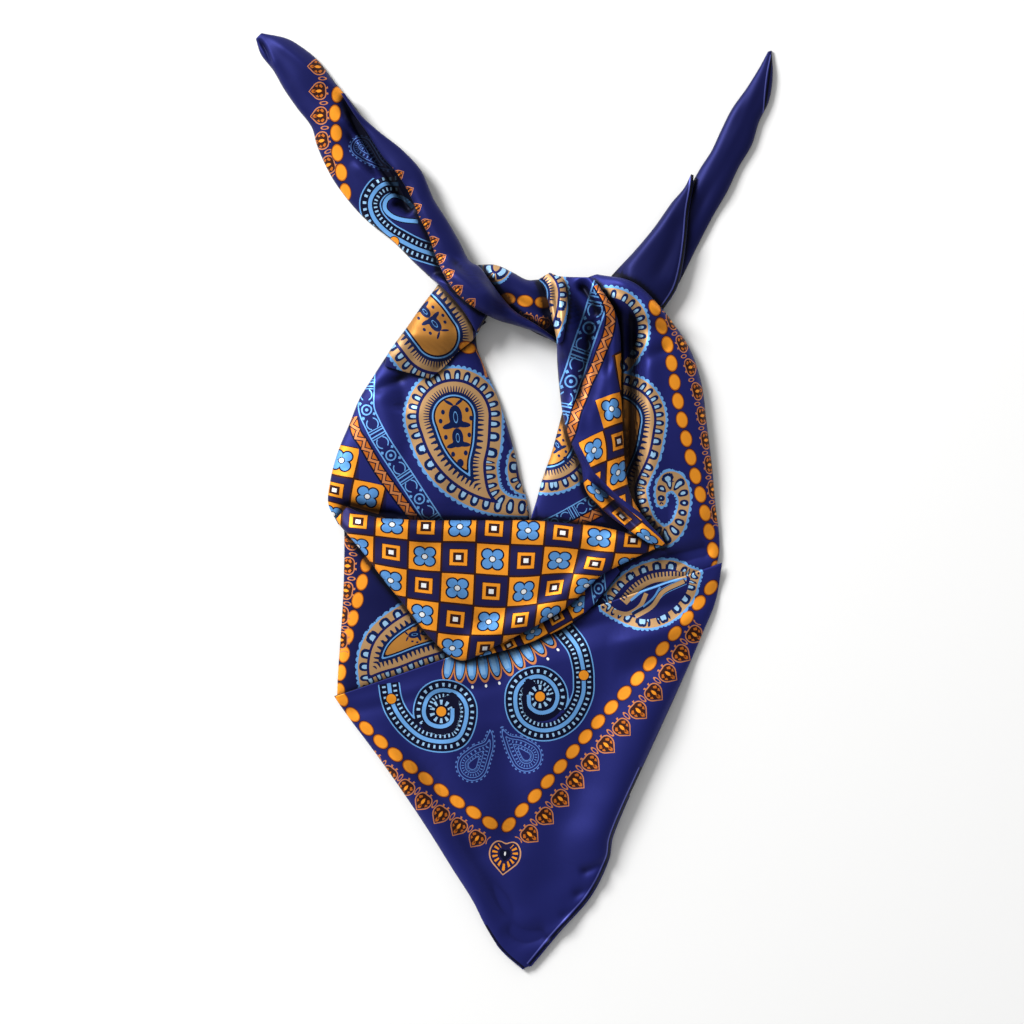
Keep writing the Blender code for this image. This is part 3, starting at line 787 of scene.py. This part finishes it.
leftBand = dict(node="left_band", restsOn=["bib_back"], spacing=1.25, roundness=4, sections=[
    (-62, 174, -23, 144, 8), (-74, 157, -30, 137, 9), (-90, 135, -30, 122, 10), (-101, 120, -26, 112, 10),
    (-114, 100, -21, 100, 10), (-124, 84, -14, 84, 10), (-133, 62, -7, 63, 10), (-141, 43, -1, 42, 10),
    (-148, 18, 5, 15, 9), (-150, -1, 10, -1, 7), (-142, -18, 12, -22, 3),
], creases=[
    (-116, 86, -98, 97, -84, 104, 4.5, -2.6), (-95, 104, -87, 88, -90, 70, 9, -4.2),
    (-110, 97, -105, 65, -92, 33, 8, 2), (-84, 49, -60, 17, -50, -11, 9, 1.5),
    (-148, 1, -116, -10, -84, -13, 6, -6), (-140, 25, -130, 9, -108, -3, 8, 2),
    (-20, 97, -8, 57, 4, 1, 6, 1.5), (-60, 97, -68, 57, -52, 9, 16, 1.6),
], motifs=[
    put(checks, [-139, 33, 0, 0, -118, 4, 1, 1, -145, 9, 0, 1, -124, -19, 1, 2, -146, -10, 0, 2, -113, 28, 1,
        0], first=1, within=[[-158, 49, -125, 43, -125, 16, -158, 16], [-158, 19, -129, 19, -102, 12, -105,
        -23, -158, -23]]),
    put(filigree, [-119, 94, -119, 75, -114, 62, -107, 49, -98, 35, -88, 20, -77, 3, -64, -17], count=3.05,
        pitch=42, half=6.4),
    put(rope, [-130, 67, -127, 55, -121, 46, -108, 24, -90, -1, -79, -16]),
    put(paisley, [-49, 68, 40.8, -46, 49, 36.8, -42, 32, 29.6, -33, 16, 21.6, -22, 4, 14.4, -8, -3, 10, 9, -5,
        8.8]),
    put(sprig, (-47, 63), size=0.94, turn=6),
    put(paisley, [9, 32, 16, 9, 26, 16.8, 9, 20, 16], squeeze=0.8),
    put(stripe, [-33, 125, -26, 112, -23, 100], ink="copper", half=1),
    bandBead,
])
leftBandFold = dict(node="left_band_fold", restsOn=["left_band"], shade=0.3, spacing=1, reach=4, sections=[
    (-60, 175, -20, 152, 5), (-74, 157, -26, 142, 7), (-88, 137, -34, 129, 8), (-97, 125, -47, 118, 6),
    (-103, 115, -58, 106, 4), (-104, 108, -68, 98, 1),
], creases=[
    (-66, 102, -48, 115, -30, 128, 5, -6), (-89, 137, -68, 125, -48, 133, 7, 2),
    (-76, 161, -60, 147, -39, 137, 5, -2), (-95, 144, -89, 121, -76, 107, 5, -1.5),
], motifs=[
    put(paisley, [-62, 132, 41.6, -73, 147, 41.6, -88, 166, 38.4, -98, 180, 35.2]),
    put(sprig, (-66, 144), turn=218, size=0.72),
    bandBead,
])
rightBandUnder = dict(node="right_band_under", restsOn=["bib_back"], spacing=1.2, sections=[
    (38, 72, 56, 66, 4), (34, 56, 68, 46, 6), (29, 38, 80, 26, 7), (22, 18, 88, 6, 7), (17, 0, 94, -10, 5),
    (12, -15, 100, -32, 3),
], motifs=[
    put(paisley, [26, 49, 44, 25, 56, 43.2, 23, 65, 41.6], squeeze=0.95),
    put(sprig, (30, 52), turn=30, size=0.6),
    put(filigree, [16, -24, 36, -15, 68, 3], count=1.7, pitch=38),
    put(rope, [36, -25, 68, -8]),
])
leftTail = dict(node="left_tail", held="gathered", restsOn=["left_band_fold", "cross_band"], navyShading=0.72,
    spacing=1.05, reach=4, sections=[
    (-208, 371, -203, 376, 3), (-204, 359, -184, 372, 6), (-194, 346, -170, 364, 8),
    (-186, 332, -159, 355, 9), (-175, 316, -145, 337, 9), (-163, 300, -130, 319, 9),
    (-159, 286, -118, 303, 9), (-148, 262, -98, 287, 9), (-134, 242, -78, 268, 9), (-117, 224, -64, 240, 9),
    (-98, 209, -55, 226, 9), (-82, 193, -46, 209, 8), (-63, 175, -36, 192, 7), (-49, 161, -28, 182, 6),
    (-38, 147, -20, 170, 5), (-31, 135, -18, 158, 2),
], creases=[
    (-140, 324, -119, 289, -81, 230, 4.2, -13), (-140, 312, -126, 288, -92, 240, 3.2, 3),
    (-135, 305, -127, 280, -103, 257, 5, -6.5), (-130, 273, -114, 257, -96, 249, 5, 2),
    (-202, 364, -182, 328, -162, 297, 5, 2.5), (-192, 353, -172, 321, -154, 281, 5, -2),
    (-198, 372, -168, 352, -142, 328, 5, 2.2), (-206, 371, -198, 361, -195, 348, 1.8, -3),
    (-98, 241, -90, 236, -82, 232, 4, -5), (-124, 229, -104, 209, -60, 177, 6, 1.8),
], motifs=[
    put(hearts, [-157, 348, -156, 328, -155, 308, -154, 288, -149, 270], count=4, pitch=18, outward=-1),
    put(beads, [-142, 326, -144, 311, -143, 295, -142, 278, -139, 263, -136, 248], count=5, pitch=15.4),
    put(outlinedLeaf, [-123, 284, 8.8, -118, 279, 7.2, -110, 272, 4, -100, 267, 1.2]),
    put(scroll, [-55, 195, -66, 198, -78, 202, -90, 208, -103, 216, -113, 227, -116, 239, -111, 249, -103,
        254, -94, 255], arm=96, turnEnd=175, outward=-1),
    put(scroll, [-82, 236, -89, 243, -97, 245, -103, 241, -104, 234, -98, 228, -89, 225, -78, 224], arm=0,
        turnEnd=0),
    put(star, (-97, 208), rays=False),
])
leftTailFlap = dict(node="left_tail_flap", slot="navy_silk", held="gathered",
    restsOn=["left_tail", "cross_band"], navyShading=0.66, spacing=1.05, reach=8, roundness=2.5, sections=[
    (-139, 326, -136, 326, 1), (-129, 310, -126, 312, 2), (-119, 296, -110, 297, 3), (-106, 276, -90, 281, 4),
    (-95, 263, -76, 266, 5), (-83, 243, -64, 240, 5), (-77, 228, -55, 226, 6), (-69, 212, -45, 209, 7),
    (-62, 192, -36, 192, 8), (-52, 172, -28, 187, 9), (-36, 156, -20, 176, 10), (-20, 147, -12, 165, 10),
    (0, 141, 0, 152, 9), (20, 134, 19, 140, 6), (34, 126, 33, 130, 3),
], creases=[
    (-63, 212, -42, 187, -7, 153, 11, 1.6), (-84, 257, -73, 228, -55, 196, 8, 1.2),
    (-52, 196, -39, 180, -23, 164, 3.5, -1.4), (-28, 185, -8, 161, 20, 137, 4.5, -2.4),
    (-8, 164, 7, 152, 26, 139, 4, 1.6),
], motifs=[
    put(hearts, [-94, 260, -87, 248, -79, 232, -70, 217, -64, 201, -56, 185, -47, 168, -36, 156], count=8,
        pitch=15.8, size=0.7, outward=1),
])
yokeRight = dict(node="bib_yoke_right", restsOn=["bib_back", "right_band_under"], spacing=1.2, reach=9,
    sections=[
    (54, 178, 66, 182, 6), (66, 164, 94, 175, 11), (78, 148, 118, 153, 14), (84, 126, 138, 127, 15),
    (84, 98, 149, 98, 15), (83, 66, 154, 62, 15), (85, 34, 158, 30, 13), (88, 2, 161, -3, 10),
    (90, -24, 164, -28, 7), (66, -56, 163, -46, 3), (40, -92, 156, -62, 1),
], creases=[
    (94, 169, 93, 81, 95, -23, 7, -14), (108, 153, 106, 81, 110, 1, 9, 2),
    (95, 107, 108, 118, 126, 125, 5, -1.6), (98, 118, 110, 128, 122, 133, 6, 0.6),
    (108, -52, 140, -39, 164, -37, 8, -5.5), (122, -15, 142, -15, 158, -8, 10, 2),
    (140, 121, 152, 57, 158, -15, 7, 1.6), (73, 172, 100, 161, 116, 137, 5, -2),
], motifs=[
    put(beads, [111, 154, 122, 124, 130, 80, 140, 36, 152, -9, 162, -54], count=14, pitch=15.4),
    put(hearts, [125, 144, 135, 121, 146, 85, 152, 51, 157, 17, 161, -10], count=8, pitch=17.6, squeeze=0.72),
    put(paisley, [73, 137, 35.2, 70, 129, 33.6, 66, 120, 30.4], squeeze=0.9, rimOnly=True, pitch=8.6),
    put(paisley, [82, 65, 40, 84, 45, 34.4, 86, 25, 24.8, 90, 8, 16.8, 100, -15, 12.8, 110, -24, 10.4, 119,
        -28, 9.6, 129, -21, 7.6, 134, -8, 6.4, 135, 4, 6.8, 130, 14, 8.8, 123, 16, 9.6, 117, 9, 6.4, 117, 0,
        5.6], squeeze=0.86, pitch=8),
    *foldedLeaf,
    lowerFiligree,
    put(rope, [49, -67, 54, -81, 62, -93]),
])
yokeLeft = dict(node="bib_yoke_left", wall=True, restsOn=["bib_back", "left_band"], navyShading=0.5, spacing=1.2,
    roundness=4, sections=[
    (-137, -18, -104, -14, 2), (-137, -46, -86, -44, 4), (-138, -78, -64, -76, 6), (-140, -110, -42, -104, 6),
    (-142, -138, -30, -122, 4), (-143, -160, -22, -136, 1),
], motifs=[
    put(beads, [-119, -50, -126, -79, -134, -109, -140, -138, -141, -152], count=7, pitch=15),
    put(hearts, [-130, -32, -133, -47, -134, -67, -138, -88, -139, -111], count=4, pitch=18, outward=-1),
    put(paisley, [-60, -100, 30.4, -81, -108, 28.8, -98, -118, 25.6, -110, -130, 17.6, -118, -143, 8.8, -122,
        -151, 3.2], squeeze=0.85),
    put(sprig, (-78, -106), size=0.5, turn=100),
])
bibPoint = dict(node="bib_point", wall=True, held="laid",
    restsOn=["bib_back", "bib_yoke_left", "bib_yoke_right"], spacing=1.6, roundness=6, startTaper=34,
    hems=[("right", 0.62, 1), ("left", 0.8, 1)], sections=[
    (-145, -156, 166, -49, 3), (-135, -171, 162, -76, 5), (-114, -199, 150, -107, 6),
    (-92, -230, 134, -144, 6), (-70, -263, 119, -177, 6), (-50, -295, 102, -214, 5), (-33, -322, 86, -249, 4),
    (-24, -340, 78, -270, 3), (-15, -355, 75, -287, 3), (-7, -364, 60, -317, 2), (0, -370, 36, -344, 2),
    (6, -375, 13, -372, 1),
], creases=[
    (-119, -176, -62, -260, -4, -355, 10, 7), (-102, -183, -42, -269, 7, -359, 13, -5.6),
    (-66, -175, -50, -223, -18, -279, 18, 2.6), (-8, -175, -7, -231, 1, -287, 17, -4.2),
    (135, -119, 100, -231, 52, -311, 27, 8.5), (73, -112, 108, -117, 151, -88, 8, 2.6),
    (78, -133, 113, -136, 148, -111, 10, -2.6), (84, -119, 52, -207, 12, -319, 22, -3),
    (73, -292, 52, -328, 20, -368, 6, 1.8), (79, -287, 65, -292, 50, -298, 4, -2.4),
    (71, -306, 58, -311, 44, -317, 4, -1.6), (60, -322, 47, -328, 34, -335, 4, -1.3),
    (42, -343, 33, -348, 22, -352, 3.5, -1.8), (-12, -341, 6, -354, 30, -343, 8, -2.4),
    (-84, -151, -36, -151, 4, -136, 9, -1.4),
], motifs=[
    put(fan, (-38, -46), radius=98.4, start=-100, step=6.1, petals=10, pitch=10),
    put(beads, [-5, -259, 27, -223, 66, -177, 107, -131, 157, -69], count=16, pitch=15.6),
    put(beads, [-20, -257, -58, -232, -94, -204, -129, -172, -139, -158], count=10, pitch=15.4),
    put(hearts, [11, -266, 36, -237, 73, -193, 111, -151, 143, -106], count=11, pitch=18.6, size=1.12,
        outward=-1),
    put(hearts, [-30, -269, -60, -249, -90, -226, -118, -204, -142, -186], count=8, pitch=18, size=1.1),
    put(cornerHeart, (-8, -282), turn=-5.9),
    put(star, (20, -156)),
    put(scroll, [33, -96, 42, -106, 50, -117, 54, -131, 55, -143, 54, -156, 46, -172, 34, -181, 20, -183, 7,
        -177, 1, -166, 1, -152, 8, -143, 20, -140, 30, -146, 34, -156, 30, -166, 20, -169, 12, -164, 11,
        -155], arm=96, turnEnd=211, outward=1),
    put(star, (55, -139), rays=False),
    put(star, (-59, -168)),
    put(scroll, [-101, -146, -99, -158, -95, -168, -86, -180, -74, -189, -59, -192, -46, -189, -40, -178, -39,
        -164, -46, -154, -59, -151, -69, -156, -73, -168, -69, -177, -59, -180, -51, -176, -50, -166], arm=62,
        turnEnd=166, outward=-1),
    put(star, (-99, -158), rays=False),
    put(outlinedLeaf, [-34, -211, 12.4, -29, -204, 9.6, -22, -196, 4.8, -20, -188, 2.4, -20, -183, 0.8]),
    put(outlinedLeaf, [9, -204, 12.4, 3, -198, 9.6, -4, -192, 4.8, -8, -187, 2.4, -10, -182, 0.8]),
    *foldedLeaf,
    # painted shade along the hems, and beside the right one a painted highlight of the rolled hem
    put(stripe, [101, -213, 85, -248, 76, -270, 74, -286, 59, -316, 35, -343, 12, -371], ink="dark",
        half=1.1),
    put(stripe, [99, -213, 83, -248, 75, -269, 72, -286, 57, -315, 33, -342, 10, -370], ink="seam", half=0.5),
    put(stripe, [-23, -340, -14, -354, -6, -363, 1, -369, 7, -374], ink="dark", half=1),
    # painted shade along the crease where the bib's top edge lies on the yokes
    put(stripe, [-146, -156, 10, -102, 166, -48], ink="fold", half=0.9),
])
swagUnder = dict(node="swag_under", restsOn=["bib_point"], creaseShadeShare=0.55, spacing=1, roundness=2.5, sections=[
    (-30, -112, -28, -124, 2), (-8, -106, -4, -118, 3), (16, -96, 22, -109, 3), (38, -86, 44, -98, 3),
    (52, -72, 60, -86, 3), (64, -60, 72, -72, 2), (80, -50, 84, -56, 1),
], motifs=[
    put(checks, [33, -93, 0, 0, 52, -82, 1, 0, 26, -79, 0, 1], within=[[-92, -47, 58, -47, 52, -127, -92,
        -127]]),
    lowerFiligree,
])
swag = dict(node="swag", restsOn=["swag_under", "bib_point", "left_band"], spacing=1.25, reach=9, roundness=4,
    sections=[
    (-134, -4, -143, -14, 2), (-126, -8, -140, -19, 5), (-114, -12, -136, -24, 9), (-92, -14, -120, -43, 11),
    (-72, -15, -104, -64, 12), (-52, -15, -86, -86, 12), (-32, -15, -66, -111, 12), (-12, -15, -44, -127, 11),
    (8, -15, -16, -116, 11), (28, -16, 12, -102, 11), (48, -18, 41, -85, 10), (68, -20, 68, -60, 9),
    (90, -25, 94, -46, 7), (114, -31, 116, -36, 3),
], creases=[
    (-132, -18, -28, -23, 100, -35, 8, 1.4), (-124, -37, -92, -79, -47, -120, 8, 1.4),
    (-36, -123, 20, -104, 68, -71, 9, 1), (76, -40, 52, -67, 24, -103, 10, -3),
    (-130, -5, -120, -12, -104, -15, 5, -2.5), (-76, -52, -12, -68, 36, -55, 25, 2),
    (-114, -47, -84, -84, -54, -111, 7, -1.6), (76, -47, 100, -40, 119, -37, 6, -1.6),
], motifs=[
    put(checks, [-125, -16, 0, 0, -44, -20, 3, 0, 38, -25, 6, 0, 94, -31, 8, 0, -126, -36, 0, 1, -72, -44, 2,
        1, -18, -46, 4, 1, 64, -50, 7, 1, -99, -63, 1, 2, -46, -69, 3, 2, 7, -72, 5, 2, 57, -67, 7, 2, -74,
        -90, 2, 3, -21, -96, 4, 3, 28, -91, 6, 3, -50, -117, 3, 4, -24, -117, 4, 4]),
])
bandInner = dict(node="right_band_inner", restsOn=["right_band_under", "bib_yoke_right", "swag"],
    spacing=1.05, reach=9, sections=[
    (24, 180, 62, 178, 8), (27, 164, 71, 165, 12), (30, 148, 79, 152, 13), (33, 128, 84, 134, 14),
    (34, 110, 85, 114, 14), (36, 88, 85, 90, 14), (39, 66, 86, 66, 13), (45, 46, 87, 42, 12),
    (52, 30, 89, 20, 11), (57, 8, 95, 0, 10), (69, -6, 106, -16, 8), (88, -21, 117, -29, 5),
    (106, -33, 121, -36, 2),
], creases=[
    (50, 177, 60, 164, 70, 144, 5, -11), (44, 161, 46, 121, 41, 81, 6, 2),
    (62, 152, 57, 105, 46, 62, 4, -4.5), (78, 147, 76, 105, 60, 57, 5, 2),
    (74, 161, 78, 133, 73, 97, 3.5, -4), (50, 47, 68, 21, 104, -19, 3.5, 3),
    (58, 22, 78, -5, 102, -26, 4, -5), (87, 129, 87, 65, 86, 9, 5, -5), (46, 97, 47, 73, 52, 52, 5, 1.6),
], motifs=[
    put(paisley, [11, 164, 32.8, 8, 152, 33.6, -2, 129, 33.6], squeeze=0.75, within=[[33, 185, 60, 185, 56,
        153, 48, 125, 33, 109]]),
    put(checks, [77, 74, 1, 0, 63, 41, 0, 1, 83, 48, 1, 1, 82, 23, 1, 2, 92, 108, 2, -1, 63, 82, 0.5, -0.5,
        84, 88, 1.5, -0.5, 70, 57, 0.5, 0.5, 50, 47, -0.5, 0.5], within=[[77, 116, 108, 137, 108, 81, 84, 88],
        [63, 82, 84, 88, 108, 97, 108, 9, 71, 57], [50, 47, 70, 57, 108, 61, 108, -15, 81, 5, 62, 24]]),
    put(checks, [66, 8, 0, 0, 85, -12, 1, 0, 105, -29, 2, 0, 54, -2, 0, 1, 74, -20, 1, 1], first=1,
        within=[[61, 25, 81, 5, 100, -14, 128, -35, 100, -63, 36, -15]]),
    put(filigree, [66, 160, 61, 144, 54, 124, 48, 105, 42, 88, 38, 72], count=2.05, pitch=46, half=7.6),
    put(rope, [66, 172, 73, 159, 76, 147, 74, 133, 69, 120, 64, 107, 58, 95, 54, 84, 49, 72, 45, 57, 41, 48]),
    put(stripe, [82, 155, 87, 144, 90, 125], ink="rust", half=1.1),
])
knotRoll = dict(node="knot_roll", held="gathered", restsOn=["cross_band", "right_band_inner"], spacing=0.8,
    roundness=2.5, sections=[
    (19, 177, 28, 182, 3), (23, 170, 37, 177, 6), (26, 160, 41, 165, 7), (29, 147, 42, 152, 7),
    (32, 134, 40, 139, 6), (34, 124, 38, 127, 3),
], creases=[
    (30, 177, 34, 153, 34, 129, 2.5, -2.5), (26, 169, 28, 149, 30, 133, 2, 1.5),
], motifs=[
    put(paisley, [11, 164, 32.8, 8, 152, 33.6, -2, 129, 33.6], squeeze=0.75),
])

laidInTurn = [
    bibBack, rightTail, rightTailFlap, crossBand, leftBand, leftBandFold, rightBandUnder, leftTail,
    leftTailFlap, yokeRight, yokeLeft, bibPoint, swagUnder, swag, bandInner, knotRoll,
]
laidInTurn = [{**usual, **piece} for piece in laidInTurn]
meshes = [layStretch(pile, piece) for piece in laidInTurn]
for mesh, piece in zip(meshes, laidInTurn):
    addCreaseShade(pile, mesh, piece["creaseShadeShare"])

studio = {
    "focal": 100.0,
    "look": (-0.0024, -0.0084),
    "height": 2.285,
    "overhead": 0.2,  # light from straight above
    "horizon": 1.4,  # light from the white walls all round
    "farSide": 0.5,  # share of that on the side away from the window
    "window": (-0.75, 0.66, 0.0),
    "key": 262.0,
    "keyPlace": (-2.8, 2.4, 2.35),
    "keySize": 1.5,
    "floorHalf": 16.0,
    "floorHeight": -0.0002,
    "paper": {"Base Color": (0.93, 0.93, 0.925, 1), "Roughness": 0.9},
}


def makeFloor():
    half, height = studio["floorHalf"], studio["floorHeight"]
    corners = [(-half, -half, height), (half, -half, height), (half, half, height), (-half, half, height)]
    mesh = bpy.data.meshes.new("floor")
    mesh.from_pydata(corners, [], [(0, 1, 2, 3)])
    floor = linked("floor", mesh)
    paper = bpy.data.materials.new("white_paper")
    paper.use_nodes = True
    for name, value in studio["paper"].items():
        paper.node_tree.nodes["Principled BSDF"].inputs[name].default_value = value
    mesh.materials.append(paper)


def makeWorld():
    world = bpy.data.worlds.new("studio")
    world.use_nodes = True
    node = partial(addNode, world.node_tree)
    direction = node("ShaderNodeTexCoord").outputs["Generated"]
    height = node("ShaderNodeSeparateXYZ", {0: direction}).outputs["Z"]
    level = {"Value": height, "To Min": studio["horizon"], "To Max": studio["overhead"]}
    facing = node("ShaderNodeVectorMath", {0: direction, 1: studio["window"]}, {"operation": "DOT_PRODUCT"})
    side = {"Value": facing.outputs["Value"], "From Min": -1.0, "To Min": studio["farSide"]}
    level, side = (node("ShaderNodeMapRange", values).outputs[0] for values in (level, side))
    both = node("ShaderNodeMath", {0: level, 1: side}, {"operation": "MULTIPLY"})
    background = world.node_tree.nodes["Background"]
    world.node_tree.links.new(both.outputs[0], background.inputs["Strength"])
    background.inputs["Color"].default_value = (1, 1, 1, 1)
    bpy.context.scene.world = world


def makeLightAndCamera():
    light = bpy.data.lights.new("key", "AREA")
    light.energy, light.size = studio["key"], studio["keySize"]
    lamp = linked("key", light, studio["keyPlace"])
    beam = Vector((*studio["look"], 0.0)) - Vector(studio["keyPlace"])
    lamp.rotation_euler = beam.to_track_quat("-Z", "Y").to_euler()
    camera = bpy.data.cameras.new("camera")
    camera.lens, camera.sensor_width = studio["focal"], 36.0
    scene = bpy.context.scene
    scene.camera = linked("camera", camera, (*studio["look"], studio["height"]))
    scene.view_settings.view_transform = "Standard"
    scene.view_settings.look = "None"


makeFloor()
makeWorld()
makeLightAndCamera()
print("studio ready")
